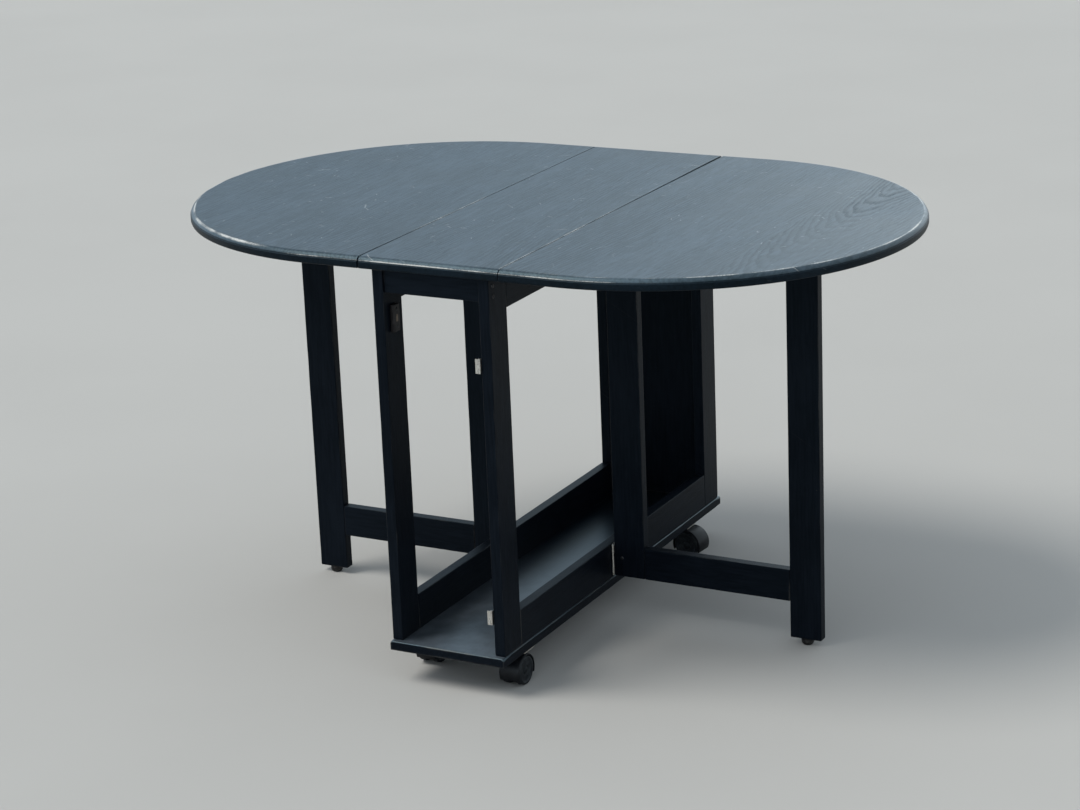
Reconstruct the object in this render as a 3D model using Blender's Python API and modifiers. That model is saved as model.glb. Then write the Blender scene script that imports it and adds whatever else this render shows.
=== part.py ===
"""Folding gate-leg table: a stadium-shaped top in three boards, a narrow carcass on casters, two gates.

Metres, +Z up, floor at zero. X runs across the seams of the top and Y along them.
The open end of the carcass is at -Y. Both leaves are up and both gates are swung out.
"""

from collections import namedtuple
import math

import bmesh
import bpy
from mathutils import Matrix, Vector

# Fits
FIT = 0.0003  # gap between faces that touch
RUNNING_CLEARANCE = 0.0003  # radial gap around a pin or an axle
ARRIS = 0.0012  # softened edge of a sawn board
OVERCUT = 0.01  # how far a cutter runs past the face that it cuts
ROUND_STEPS = 16
PIN_STEPS = 8

# Top
TOP_HEIGHT = 0.740
TOP_THICKNESS = 0.020
TOP_DEPTH = 0.868
LEAF_STRAIGHT = 0.097  # straight edge of a leaf between its seam and its half-round end
END_STEPS = 48
SEAM_OVERHANG = 0.0215  # seam outside the carcass
SEAM_GAP = 0.0014
EDGE_INSET = 0.0075  # chamfer of the upper edge, inwards
EDGE_DROP = 0.0075  # chamfer of the upper edge, downwards
EDGE_STEPS = 1
UNDER_ROUND = 0.003
UNDER_STEPS = 2

# Carcass
CARCASS_WIDTH = 0.215
CARCASS_SETBACK = 0.007  # carcass behind the edge of the top, at each end
BOARD_THICKNESS = 0.019
POST_WIDTH = 0.058
APRON_HEIGHT = 0.060
NEAR_RAIL_HEIGHT = 0.039
NEAR_RAIL_SETBACK = 0.004
BOTTOM_RAIL_HEIGHT = 0.0625
END_PANEL_THICKNESS = 0.012
END_PANEL_SETBACK = 0.003
BASE_TOP = 0.0745
BASE_THICKNESS = 0.0165
BASE_SIDE_OVERHANG = 0.0015
BASE_END_OVERHANG = 0.009
BASE_CORNER = 0.005
BASE_CORNER_STEPS = 4

# Gates
GATE_THICKNESS = 0.019
GATE_FACE_Y = -0.026
GATE_PIN_STANDOFF = 0.0012  # pin in front of the gate's face
STILE_WIDTH = 0.058
LEG_WIDTH = 0.057
GATE_WIDTH = 0.3915
GATE_RAIL_HEIGHT = 0.057
GATE_RAIL_LOW = 0.0775
GATE_RAIL_DROP = 0.008  # upper rail below the leg's top, clear of the leaf hinges
GLIDE_HEIGHT = 0.0115
GLIDE_RADIUS = 0.0115
GLIDE_FLAT_RADIUS = 0.0065

# Hinges
Hinge = namedtuple("Hinge", "length width sheet barrel pin")
GATE_HINGE = Hinge(length=0.056, width=0.015, sheet=0.0013, barrel=0.0022, pin=0.0011)
LEAF_HINGE = Hinge(length=0.050, width=0.018, sheet=0.0016, barrel=0.0023, pin=0.0012)
DOOR_HINGE = Hinge(length=0.0245, width=0.0062, sheet=0.0012, barrel=0.0022, pin=0.0011)
KNUCKLES = 3
PIN_PROUD = 0.0005
GATE_HINGE_FOOT = 0.0045  # lower gate hinge above the base board
GATE_HINGE_HEAD = 0.002  # upper gate hinge below the top
LEAF_HINGE_NEAR_INSET = 0.194
LEAF_HINGE_FAR_INSET = 0.164
DOOR_HINGE_RISE = 0.0685
DOOR_HINGE_FALL = 0.144
DOOR_PIN_STANDOFF = 0.0025  # pin in front of the near posts

# Catch
CATCH_THICKNESS = 0.0076
CATCH_DEPTH = 0.0195
CATCH_HEIGHT = 0.0465
CATCH_FALL = 0.087  # middle of the catch below the top
CATCH_SETBACK = 0.0175
MAGNET_WIDTH = 0.005
MAGNET_DEPTH = 0.004
MAGNET_HEIGHT = 0.012
MAGNET_PROUD = 0.0006

# Casters
CASTER_SIDE_INSET = 0.019
CASTER_NEAR_INSET = 0.094
CASTER_FAR_INSET = 0.129
CASTER_TRAIL = 0.016
CASTER_HEADINGS = {"near_right": -90, "near_left": 90, "far_right": -5, "far_left": 110}
CASTER_PLATE = 0.034
CASTER_PLATE_THICKNESS = 0.0025
KING_PIN_RADIUS = 0.0035
KING_PIN_BOTTOM = 0.036
KING_PIN_BORE_BOTTOM = 0.034
HOOD_RADIUS = 0.029
HOOD_WALL = 0.0025
HOOD_BOSS_RADIUS = 0.009
HOOD_SKIRT = 0.012  # hood below the axle
HOOD_STEPS = 32
WEB_THICKNESS = 0.0114
WHEEL_RADIUS = 0.025
WHEEL_SPAN = 0.038
WHEEL_ROUND = 0.002
WHEEL_DISH = 0.0012
HUB_RADIUS = 0.008
AXLE_RADIUS = 0.003
WHEEL_STEPS = 28

# Places that follow from the sizes above
UNDERSIDE = TOP_HEIGHT - TOP_THICKNESS
CARCASS_DEPTH = TOP_DEPTH - 2 * CARCASS_SETBACK
CARCASS_SIDE = CARCASS_WIDTH / 2
CARCASS_INSIDE = CARCASS_SIDE - BOARD_THICKNESS
SEAM_X = CARCASS_SIDE + SEAM_OVERHANG
END_CENTRE_X = SEAM_X + LEAF_STRAIGHT
CARCASS_END = CARCASS_DEPTH / 2
POST_INNER_Y = CARCASS_END - POST_WIDTH
CARCASS_TOP = UNDERSIDE - FIT
CARCASS_FOOT = BASE_TOP + FIT
BASE_WIDTH = CARCASS_WIDTH + 2 * BASE_SIDE_OVERHANG
BASE_DEPTH = CARCASS_DEPTH + 2 * BASE_END_OVERHANG
GATE_PIN_X = CARCASS_SIDE + FIT + GATE_HINGE.barrel
GATE_PIN_Y = GATE_FACE_Y - GATE_PIN_STANDOFF
STILE_INNER_X = GATE_PIN_X + GATE_HINGE.barrel + FIT
STILE_OUTER_X = STILE_INNER_X + STILE_WIDTH
LEG_OUTER_X = STILE_INNER_X + GATE_WIDTH
LEG_INNER_X = LEG_OUTER_X - LEG_WIDTH
GATE_TOP = UNDERSIDE - FIT
GATE_HINGE_LOW_Z = BASE_TOP + GATE_HINGE_FOOT + GATE_HINGE.length / 2
GATE_HINGE_HIGH_Z = UNDERSIDE - GATE_HINGE_HEAD - GATE_HINGE.length / 2
LEAF_PIN_Z = UNDERSIDE - FIT - LEAF_HINGE.barrel
LEAF_HINGE_NEAR_Y = -TOP_DEPTH / 2 + LEAF_HINGE_NEAR_INSET
LEAF_HINGE_FAR_Y = TOP_DEPTH / 2 - LEAF_HINGE_FAR_INSET
DOOR_PIN_X = CARCASS_INSIDE - FIT - DOOR_HINGE.barrel
DOOR_PIN_Y = -CARCASS_END - DOOR_PIN_STANDOFF
DOOR_HINGE_HEIGHTS = {"lower": BASE_TOP + DOOR_HINGE_RISE, "upper": UNDERSIDE - DOOR_HINGE_FALL}
CATCH_Z = UNDERSIDE - CATCH_FALL
CASTER_X = BASE_WIDTH / 2 - CASTER_SIDE_INSET
CASTER_NEAR_Y = -BASE_DEPTH / 2 + CASTER_NEAR_INSET
CASTER_FAR_Y = BASE_DEPTH / 2 - CASTER_FAR_INSET
CASTER_PLATE_TOP = BASE_TOP - BASE_THICKNESS - FIT
CASTER_PLATE_BOTTOM = CASTER_PLATE_TOP - CASTER_PLATE_THICKNESS

X_AXIS = Vector((1, 0, 0))
Y_AXIS = Vector((0, 1, 0))
Z_AXIS = Vector((0, 0, 1))


# Scene


def empty_scene():
    for obj in list(bpy.data.objects):
        bpy.data.objects.remove(obj)


def new_collection(name):
    collection = bpy.data.collections.new(name)
    bpy.context.scene.collection.children.link(collection)
    return collection


empty_scene()
PARTS = new_collection("gate_leg_table")
CUTTERS = new_collection("cutters")


# Materials


def material(name, colour, roughness, metallic):
    made = bpy.data.materials.new(name)
    made.use_nodes = True
    shader = made.node_tree.nodes["Principled BSDF"]
    shader.inputs["Base Color"].default_value = (*colour, 1)
    shader.inputs["Roughness"].default_value = roughness
    shader.inputs["Metallic"].default_value = metallic
    return made


TOP_WOOD = material("black_top_wood", (0.030, 0.036, 0.046), 0.35, 0)
FRAME_WOOD = material("black_frame_wood", (0.018, 0.020, 0.024), 0.5, 0)
NICKEL = material("nickel_plate", (0.62, 0.60, 0.56), 0.3, 1)
CATCH_PLASTIC = material("brown_plastic", (0.060, 0.042, 0.036), 0.5, 0)
MAGNET_STEEL = material("magnet_steel", (0.45, 0.45, 0.45), 0.4, 1)
HOOD_PLASTIC = material("black_hood_plastic", (0.014, 0.014, 0.015), 0.45, 0)
WHEEL_PLASTIC = material("grey_wheel_plastic", (0.040, 0.042, 0.045), 0.5, 0)
GLIDE_PLASTIC = material("black_glide_plastic", (0.012, 0.012, 0.012), 0.5, 0)


# Shapes


def tool(name, build):
    """A loose object from a function that fills a bmesh."""
    bm = bmesh.new()
    build(bm)
    mesh = bpy.data.meshes.new(name)
    bm.to_mesh(mesh)
    bm.free()
    obj = bpy.data.objects.new(name, mesh)
    obj.hide_render = True
    obj.display_type = "WIRE"
    CUTTERS.objects.link(obj)
    return obj


def block(name, low, high):
    low = Vector(low)
    high = Vector(high)
    size = high - low
    frame = Matrix.Translation((low + high) / 2) @ Matrix.Diagonal((*size, 1))
    return tool(name, lambda bm: bmesh.ops.create_cube(bm, size=1, matrix=frame))


def rod(name, radius, start, end, steps=ROUND_STEPS):
    """A cylinder between two points."""
    start = Vector(start)
    end = Vector(end)
    along = end - start
    frame = Matrix.Translation((start + end) / 2) @ Z_AXIS.rotation_difference(along).to_matrix().to_4x4()

    def build(bm):
        bmesh.ops.create_cone(
            bm,
            cap_ends=True,
            segments=steps,
            radius1=radius,
            radius2=radius,
            depth=along.length,
            matrix=frame,
        )

    return tool(name, build)


def turned(name, profile, steps):
    """A profile of (radius, height) points, from top to bottom, turned around Z."""

    def build(bm):
        points = [bm.verts.new((radius, 0, height)) for radius, height in profile]
        for first, second in zip(points, points[1:]):
            bm.edges.new((first, second))

    obj = tool(name, build)
    screw = obj.modifiers.new("turn", "SCREW")
    screw.steps = steps
    screw.render_steps = steps
    screw.use_merge_vertices = True
    screw.merge_threshold = FIT / ROUND_STEPS
    return solid(obj)


def solid(obj, *steps):
    """The mesh of an object after Boolean steps of (operation, other object); all of them are used up."""
    for operation, other in steps:
        boolean = obj.modifiers.new(operation, "BOOLEAN")
        boolean.operation = operation
        boolean.solver = "EXACT"
        boolean.object = other
    evaluated = obj.evaluated_get(bpy.context.evaluated_depsgraph_get())
    mesh = bpy.data.meshes.new_from_object(evaluated)
    for used in [obj] + [other for _, other in steps]:
        bpy.data.objects.remove(used)
    return mesh


def smoothed(mesh):
    mesh.shade_smooth()
    mesh.set_sharp_from_angle(angle=math.radians(35))
    return mesh


def piece(name, mesh, finish, frame, parent=None):
    """A named sub-part whose mesh is given in its own frame."""
    obj = bpy.data.objects.new(name, mesh)
    mesh.materials.clear()
    mesh.materials.append(finish)
    PARTS.objects.link(obj)
    if parent:
        obj.parent = parent
        obj.matrix_local = parent.matrix_basis.inverted() @ frame
    else:
        obj.matrix_local = frame
    return obj


def seat(origin, x_direction, y_direction):
    """The frame of a piece from its origin and where its own X and Y point."""
    columns = (x_direction, y_direction, x_direction.cross(y_direction))
    return Matrix.Translation(origin) @ Matrix(columns).transposed().to_4x4()


def pivot(name, origin):
    """An empty on a joint's axis, to carry the pieces that turn together."""
    obj = bpy.data.objects.new(name, None)
    obj.location = origin
    PARTS.objects.link(obj)
    bpy.context.view_layer.update()
    return obj


def board(name, low, high, finish, parent=None):
    """A sawn board between two corners."""
    low = Vector(low)
    high = Vector(high)
    origin = parent.location if parent else (low + high) / 2
    mesh = solid(block(name, low - origin, high - origin))
    obj = piece(name, mesh, finish, Matrix.Translation(origin), parent)
    soften(obj)
    return obj


def soften(obj):
    bevel = obj.modifiers.new("arris", "BEVEL")
    bevel.width = ARRIS
    bevel.segments = 2


# Top


def stadium(bm):
    """The whole top before it is sawn along the seams."""
    radius = TOP_DEPTH / 2
    low = UNDERSIDE + UNDER_ROUND
    outline = []
    for side in (1, -1):
        for step in range(END_STEPS + 1):
            angle = math.pi * (step / END_STEPS - 0.5)
            x = side * (END_CENTRE_X + radius * math.cos(angle))
            y = side * radius * math.sin(angle)
            outline.append(bm.verts.new((x, y, low)))
    bottom = bm.faces.new(reversed(outline))
    raised = bmesh.ops.extrude_face_region(bm, geom=[bottom], use_keep_orig=True)
    rise = TOP_THICKNESS - UNDER_ROUND - EDGE_DROP
    moved = [item for item in raised["geom"] if isinstance(item, bmesh.types.BMVert)]
    bmesh.ops.translate(bm, verts=moved, vec=(0, 0, rise))
    top = next(item for item in raised["geom"] if isinstance(item, bmesh.types.BMFace))
    bmesh.ops.recalc_face_normals(bm, faces=bm.faces)
    rounded_rim(bm, top, EDGE_INSET, EDGE_DROP, EDGE_STEPS)
    rounded_rim(bm, bottom, UNDER_ROUND, UNDER_ROUND, UNDER_STEPS)


def rounded_rim(bm, face, inset, drop, steps):
    """Rounds the rim of a flat face in steps along a quarter of an ellipse; one step makes a chamfer."""
    for step in range(steps):
        start = math.pi / 2 * step / steps
        end = math.pi / 2 * (step + 1) / steps
        bmesh.ops.inset_region(
            bm,
            faces=[face],
            thickness=inset * (math.cos(start) - math.cos(end)),
            depth=drop * (math.sin(end) - math.sin(start)),
            use_boundary=True,
            use_even_offset=True,
        )


def top_board(name, low_x, high_x, origin):
    reach = TOP_DEPTH
    low = (low_x, -reach, UNDERSIDE - OVERCUT)
    high = (high_x, reach, TOP_HEIGHT + OVERCUT)
    mesh = solid(tool("blank", stadium), ("INTERSECT", block("saw", low, high)))
    mesh.transform(Matrix.Translation(-origin))
    return piece(name, smoothed(mesh), TOP_WOOD, Matrix.Translation(origin))


def build_top():
    inner = SEAM_X - SEAM_GAP / 2
    outer = SEAM_X + SEAM_GAP / 2
    beyond = END_CENTRE_X + TOP_DEPTH
    top_board("centre_panel", -inner, inner, Vector((0, 0, UNDERSIDE)))
    right = top_board("right_leaf", outer, beyond, Vector((SEAM_X, 0, LEAF_PIN_Z)))
    left = top_board("left_leaf", -beyond, -outer, Vector((-SEAM_X, 0, LEAF_PIN_Z)))
    bpy.context.view_layer.update()
    return {"right": right, "left": left}


# Carcass


def build_carcass():
    for side, sign in (("right", 1), ("left", -1)):
        x_pair = sorted((sign * CARCASS_INSIDE, sign * CARCASS_SIDE))
        for end, direction in (("near", -1), ("far", 1)):
            y_pair = sorted((direction * POST_INNER_Y, direction * CARCASS_END))
            low = (x_pair[0], y_pair[0], CARCASS_FOOT)
            board(f"{end}_{side}_post", low, (x_pair[1], y_pair[1], CARCASS_TOP), FRAME_WOOD)
        reach = POST_INNER_Y - FIT
        low = (x_pair[0], -reach, UNDERSIDE - APRON_HEIGHT)
        board(f"{side}_apron", low, (x_pair[1], reach, CARCASS_TOP), FRAME_WOOD)
        low = (x_pair[0], -reach, CARCASS_FOOT)
        board(f"{side}_bottom_rail", low, (x_pair[1], reach, BASE_TOP + BOTTOM_RAIL_HEIGHT), FRAME_WOOD)
    reach = CARCASS_INSIDE - FIT
    face = -CARCASS_END + NEAR_RAIL_SETBACK
    low = (-reach, face, UNDERSIDE - NEAR_RAIL_HEIGHT)
    board("near_top_rail", low, (reach, face + BOARD_THICKNESS, CARCASS_TOP), FRAME_WOOD)
    face = CARCASS_END - END_PANEL_SETBACK
    low = (-reach, face - END_PANEL_THICKNESS, CARCASS_FOOT)
    board("far_end_panel", low, (reach, face, CARCASS_TOP), FRAME_WOOD)


def rounded_base(bm):
    size = (BASE_WIDTH, BASE_DEPTH, BASE_THICKNESS, 1)
    bmesh.ops.create_cube(bm, size=1, matrix=Matrix.Diagonal(size))
    uprights = [edge for edge in bm.edges if edge.verts[0].co.xy == edge.verts[1].co.xy]
    bmesh.ops.bevel(
        bm, geom=uprights, affect="EDGES", offset=BASE_CORNER, segments=BASE_CORNER_STEPS, profile=0.5
    )


def build_base():
    centre = Matrix.Translation((0, 0, BASE_TOP - BASE_THICKNESS / 2))
    soften(piece("base_board", solid(tool("base", rounded_base)), FRAME_WOOD, centre))


# Hinges


def hinge_half(kind, fixed):
    """One half of a butt hinge: pin on Z, sheet towards +X, on the +Y side if it is the fixed half."""
    side = 1 if fixed else -1
    inner = kind.barrel - kind.sheet
    start = math.asin(inner / kind.barrel)
    turn = 2 * math.pi - (math.pi / 2 - start)

    def curled_sheet(bm):
        outline = [(kind.width, kind.barrel), (kind.width, inner)]
        for step in range(ROUND_STEPS + 1):
            angle = start - turn * step / ROUND_STEPS
            outline.append((kind.barrel * math.cos(angle), kind.barrel * math.sin(angle)))
        corners = [bm.verts.new((x, side * y, -kind.length / 2)) for x, y in outline]
        face = bm.faces.new(corners)
        raised = bmesh.ops.extrude_face_region(bm, geom=[face], use_keep_orig=True)
        moved = [item for item in raised["geom"] if isinstance(item, bmesh.types.BMVert)]
        bmesh.ops.translate(bm, verts=moved, vec=(0, 0, kind.length))
        bmesh.ops.recalc_face_normals(bm, faces=bm.faces)

    def z_rod(name, radius, low, high, steps=ROUND_STEPS):
        return rod(name, radius, (0, 0, low), (0, 0, high), steps)

    knuckle = kind.length / KNUCKLES / 2
    end = kind.length / 2
    notch = kind.barrel + FIT
    steps = []
    if fixed:
        steps.append(("DIFFERENCE", z_rod("notch", notch, -knuckle - FIT / 2, knuckle + FIT / 2)))
        steps.append(("UNION", z_rod("pin", kind.pin, -end - PIN_PROUD, end + PIN_PROUD, PIN_STEPS)))
    else:
        steps.append(("DIFFERENCE", z_rod("notch", notch, -end - OVERCUT, -knuckle + FIT / 2)))
        steps.append(("DIFFERENCE", z_rod("notch", notch, knuckle - FIT / 2, end + OVERCUT)))
        bore = kind.pin + RUNNING_CLEARANCE
        steps.append(("DIFFERENCE", z_rod("bore", bore, -end - OVERCUT, end + OVERCUT, PIN_STEPS)))
    return smoothed(solid(tool("sheet", curled_sheet), *steps))


def build_gate_hinges(gates):
    plate = hinge_half(GATE_HINGE, True)
    flap = hinge_half(GATE_HINGE, False)
    for side, sign in (("right", 1), ("left", -1)):
        for level, height in (("lower", GATE_HINGE_LOW_Z), ("upper", GATE_HINGE_HIGH_Z)):
            frame = seat((sign * GATE_PIN_X, GATE_PIN_Y, height), Y_AXIS, -sign * X_AXIS)
            piece(f"{side}_gate_{level}_hinge_plate", plate, NICKEL, frame)
            piece(f"{side}_gate_{level}_hinge_flap", flap, NICKEL, frame, gates[side])


def build_leaf_hinges(leaves):
    plate = hinge_half(LEAF_HINGE, True)
    flap = hinge_half(LEAF_HINGE, False)
    for side, sign in (("right", 1), ("left", -1)):
        for end, y in (("near", LEAF_HINGE_NEAR_Y), ("far", LEAF_HINGE_FAR_Y)):
            origin = (sign * SEAM_X, y, LEAF_PIN_Z)
            inward = seat(origin, -sign * X_AXIS, Z_AXIS)
            outward = seat(origin, sign * X_AXIS, -Z_AXIS)
            piece(f"{side}_leaf_{end}_hinge_plate", plate, NICKEL, inward)
            piece(f"{side}_leaf_{end}_hinge_flap", flap, NICKEL, outward, leaves[side])


def build_door_hinges():
    plate = hinge_half(DOOR_HINGE, True)
    flap = hinge_half(DOOR_HINGE, False)
    for level, height in DOOR_HINGE_HEIGHTS.items():
        origin = (DOOR_PIN_X, DOOR_PIN_Y, height)
        piece(f"door_{level}_hinge_plate", plate, NICKEL, seat(origin, Y_AXIS, X_AXIS))
        piece(f"door_{level}_hinge_flap", flap, NICKEL, seat(origin, -X_AXIS, Y_AXIS))


# Gates


def build_gate(side, sign):
    pin = pivot(f"{side}_gate", (sign * GATE_PIN_X, GATE_PIN_Y, 0))
    back = GATE_FACE_Y + GATE_THICKNESS

    def bar(name, x_pair, low_z, high_z):
        low_x, high_x = sorted(sign * x for x in x_pair)
        low = (low_x, GATE_FACE_Y, low_z)
        board(f"{side}_gate_{name}", low, (high_x, back, high_z), FRAME_WOOD, pin)

    between = (STILE_OUTER_X + FIT, LEG_INNER_X - FIT)
    rail_top = GATE_TOP - GATE_RAIL_DROP
    bar("stile", (STILE_INNER_X, STILE_OUTER_X), GATE_RAIL_LOW, GATE_TOP)
    bar("leg", (LEG_INNER_X, LEG_OUTER_X), GLIDE_HEIGHT, GATE_TOP)
    bar("lower_rail", between, GATE_RAIL_LOW, GATE_RAIL_LOW + GATE_RAIL_HEIGHT)
    bar("upper_rail", between, rail_top - GATE_RAIL_HEIGHT, rail_top)
    foot = Vector((sign * (LEG_INNER_X + LEG_OUTER_X) / 2, (GATE_FACE_Y + back) / 2, 0))
    piece(f"{side}_gate_glide", glide_mesh(), GLIDE_PLASTIC, Matrix.Translation(foot), pin)
    return pin


def glide_mesh():
    top = GLIDE_HEIGHT - FIT
    bulge = (GLIDE_RADIUS + GLIDE_FLAT_RADIUS) / 2
    profile = [
        (0, top),
        (GLIDE_RADIUS, top),
        (GLIDE_RADIUS, top * 0.6),
        (bulge + GLIDE_RADIUS * 0.1, top * 0.2),
        (GLIDE_FLAT_RADIUS, 0),
        (0, 0),
    ]
    return smoothed(turned("glide", profile, ROUND_STEPS))


# Catch


def build_catch():
    """Housing on the inside of the near left post, with a bar magnet let into its face."""
    low = Vector((-CARCASS_INSIDE + FIT, -CARCASS_END + CATCH_SETBACK, CATCH_Z - CATCH_HEIGHT / 2))
    high = low + Vector((CATCH_THICKNESS, CATCH_DEPTH, CATCH_HEIGHT))
    half = Vector((0, MAGNET_WIDTH / 2, MAGNET_HEIGHT / 2))
    face = Vector((high.x, (low.y + high.y) / 2, CATCH_Z))
    bar_low = face - half - MAGNET_DEPTH * X_AXIS
    bar_high = face + half + MAGNET_PROUD * X_AXIS
    margin = Vector((FIT, FIT, FIT))
    pocket = block("pocket", bar_low - margin, bar_high + margin + OVERCUT * X_AXIS)
    body = solid(block("catch", low, high), ("DIFFERENCE", pocket))
    piece("door_catch_body", body, CATCH_PLASTIC, Matrix())
    piece("door_catch_magnet", solid(block("magnet", bar_low, bar_high)), MAGNET_STEEL, Matrix())


# Casters


def caster_plate_mesh():
    """Screw plate with its king pin; the origin is on the swivel axis at floor level."""
    half = CASTER_PLATE / 2
    plate = block("plate", (-half, -half, CASTER_PLATE_BOTTOM), (half, half, CASTER_PLATE_TOP))
    middle = (CASTER_PLATE_BOTTOM + CASTER_PLATE_TOP) / 2
    pin = rod("king_pin", KING_PIN_RADIUS, (0, 0, KING_PIN_BOTTOM), (0, 0, middle))
    return smoothed(solid(plate, ("UNION", pin)))


def hood_mesh():
    """Hood with the web between the wheels: origin as for the plate, axle behind it at +X."""
    half = WHEEL_SPAN / 2
    web = WEB_THICKNESS / 2
    well = HOOD_RADIUS - HOOD_WALL
    axle = Vector((CASTER_TRAIL, 0, WHEEL_RADIUS))
    drum = rod("drum", HOOD_RADIUS, axle - half * Y_AXIS, axle + half * Y_AXIS, HOOD_STEPS)
    boss_top = CASTER_PLATE_BOTTOM - FIT
    steps = [("UNION", rod("boss", HOOD_BOSS_RADIUS, (0, 0, WHEEL_RADIUS), (0, 0, boss_top)))]
    for sign in (1, -1):
        start = axle + sign * web * Y_AXIS
        end = axle + sign * (half + OVERCUT) * Y_AXIS
        steps.append(("DIFFERENCE", rod("well", well, start, end, HOOD_STEPS)))
    reach = 2 * HOOD_RADIUS
    skirt_high = (reach + CASTER_TRAIL, reach, WHEEL_RADIUS - HOOD_SKIRT)
    steps.append(("DIFFERENCE", block("skirt", (-reach, -reach, -reach), skirt_high)))
    bore = KING_PIN_RADIUS + RUNNING_CLEARANCE
    steps.append(("DIFFERENCE", rod("bore", bore, (0, 0, KING_PIN_BORE_BOTTOM), (0, 0, boss_top + OVERCUT))))
    bearing = AXLE_RADIUS + RUNNING_CLEARANCE
    steps.append(("DIFFERENCE", rod("bearing", bearing, axle - half * Y_AXIS, axle + half * Y_AXIS)))
    return smoothed(solid(drum, *steps))


def wheels_mesh():
    """Two wheels with their axle, turned around Z."""
    end = WHEEL_SPAN / 2
    inner = WEB_THICKNESS / 2 + FIT
    upper = [
        (0, end - WHEEL_DISH),
        (HUB_RADIUS, end - WHEEL_DISH),
        (WHEEL_RADIUS - 2 * WHEEL_ROUND, end),
        (WHEEL_RADIUS - WHEEL_ROUND / 2, end - WHEEL_ROUND / 2),
        (WHEEL_RADIUS, end - 2 * WHEEL_ROUND),
        (WHEEL_RADIUS, inner + WHEEL_ROUND),
        (WHEEL_RADIUS - WHEEL_ROUND, inner),
        (AXLE_RADIUS, inner),
    ]
    lower = [(radius, -height) for radius, height in reversed(upper)]
    return smoothed(turned("wheels", upper + lower, WHEEL_STEPS))


def build_casters():
    plate = caster_plate_mesh()
    hood = hood_mesh()
    wheels = wheels_mesh()
    for end, y in (("near", CASTER_NEAR_Y), ("far", CASTER_FAR_Y)):
        for side, sign in (("right", 1), ("left", -1)):
            place = f"{end}_{side}"
            heading = math.radians(CASTER_HEADINGS[place])
            trail = Vector((math.cos(heading), math.sin(heading), 0))
            origin = Vector((sign * CASTER_X, y, 0))
            piece(f"{place}_caster_plate", plate, NICKEL, Matrix.Translation(origin))
            carrier = piece(
                f"{place}_caster_hood", hood, HOOD_PLASTIC, seat(origin, trail, Z_AXIS.cross(trail))
            )
            axle = origin + CASTER_TRAIL * trail + WHEEL_RADIUS * Z_AXIS
            piece(f"{place}_caster_wheels", wheels, WHEEL_PLASTIC, seat(axle, trail, Z_AXIS), carrier)


# Assembly

top_leaves = build_top()
build_carcass()
build_base()
gate_pivots = {"right": build_gate("right", 1), "left": build_gate("left", -1)}
build_gate_hinges(gate_pivots)
build_leaf_hinges(top_leaves)
build_door_hinges()
build_catch()
build_casters()
bpy.data.collections.remove(CUTTERS)
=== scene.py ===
import math

import bmesh
import bpy
from mathutils import Matrix, Vector, noise


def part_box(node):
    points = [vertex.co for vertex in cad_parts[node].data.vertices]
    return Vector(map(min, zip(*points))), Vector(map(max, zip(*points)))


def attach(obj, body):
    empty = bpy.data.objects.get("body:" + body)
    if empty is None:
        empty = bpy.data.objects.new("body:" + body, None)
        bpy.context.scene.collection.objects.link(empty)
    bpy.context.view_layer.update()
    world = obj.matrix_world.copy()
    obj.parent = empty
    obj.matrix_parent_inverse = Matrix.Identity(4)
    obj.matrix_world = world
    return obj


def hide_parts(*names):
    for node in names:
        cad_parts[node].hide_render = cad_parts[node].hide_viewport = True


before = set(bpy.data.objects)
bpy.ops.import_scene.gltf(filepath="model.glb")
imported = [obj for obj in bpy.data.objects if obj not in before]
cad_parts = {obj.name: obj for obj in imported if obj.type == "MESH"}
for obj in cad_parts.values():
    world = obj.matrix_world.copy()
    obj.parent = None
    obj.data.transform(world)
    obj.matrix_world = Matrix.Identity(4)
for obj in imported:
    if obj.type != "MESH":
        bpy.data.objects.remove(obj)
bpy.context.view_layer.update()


# Base board: one wide planed board that everything else stands on, painted black.
# Its arrises and the corners at the open end are knocked and worn, and a pale bluish film of dust and
# painted sheen lies towards that end.
# Its edges and underside carry the duller, darker paint of the frame; the lighter paint of its upward
# faces is partly painted sheen.

ALONG_X, ALONG_Y, ALONG_Z = range(3)
BASE_ARRIS = 0.0016
BASE_SEED = 1
BASE_KNOCKS = [(0, -0.434, 0.004), (1, -0.434, 0.003), (0, -0.12, 0.002)]
BASE_KNOCKS += [(1, 0.2, 0.002), (0, 0.433, 0.004)]
BASE_DIRT_AND_SHEEN_FROM = 0.1  # dust and painted sheen thicken from here towards the open end
BASE_DIRT_AND_SHEEN_MOST = 0.42
BASE_LOOKS_UP = 0.2  # faces that look up more than this have the base's own lighter paint, partly painted sheen
ON_FACE = 0.00001


def join_rows(bm, rows):
    """Faces between rows of points that close on themselves."""
    for low, high in zip(rows, rows[1:]):
        for here in range(len(low)):
            there = (here + 1) % len(low)
            bm.faces.new((low[here], low[there], high[there], high[here]))


def add_skin(bm, rings):
    """Adds a closed skin through rings of (point, wear), the first and the last ring filled."""
    edge = bm.verts.layers.float.get("edge") or bm.verts.layers.float.new("edge")
    rows = []
    for ring in rings:
        row = []
        for point, wear in ring:
            vert = bm.verts.new(point)
            vert[edge] = wear
            row.append(vert)
        rows.append(row)
    join_rows(bm, rows)
    bm.faces.new(reversed(rows[0]))
    bm.faces.new(rows[-1])


def skin(rings):
    bm = bmesh.new()
    add_skin(bm, rings)
    bmesh.ops.recalc_face_normals(bm, faces=bm.faces)
    return bm


WORN_FRINGE = 0.003  # painted face beside an arris over which wear fades out
STATION = 0.02  # distance between the rings of a board
ARRIS_WAVES, WEAR_WAVES = 22, 35  # changes of an arris and of its wear on each metre
ARRIS_POINTS = ((-1, 0), (0, 0.3), (1, 1), (2, 1), (3, 0.3), (4, 0))  # step round the arris, wear


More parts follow.
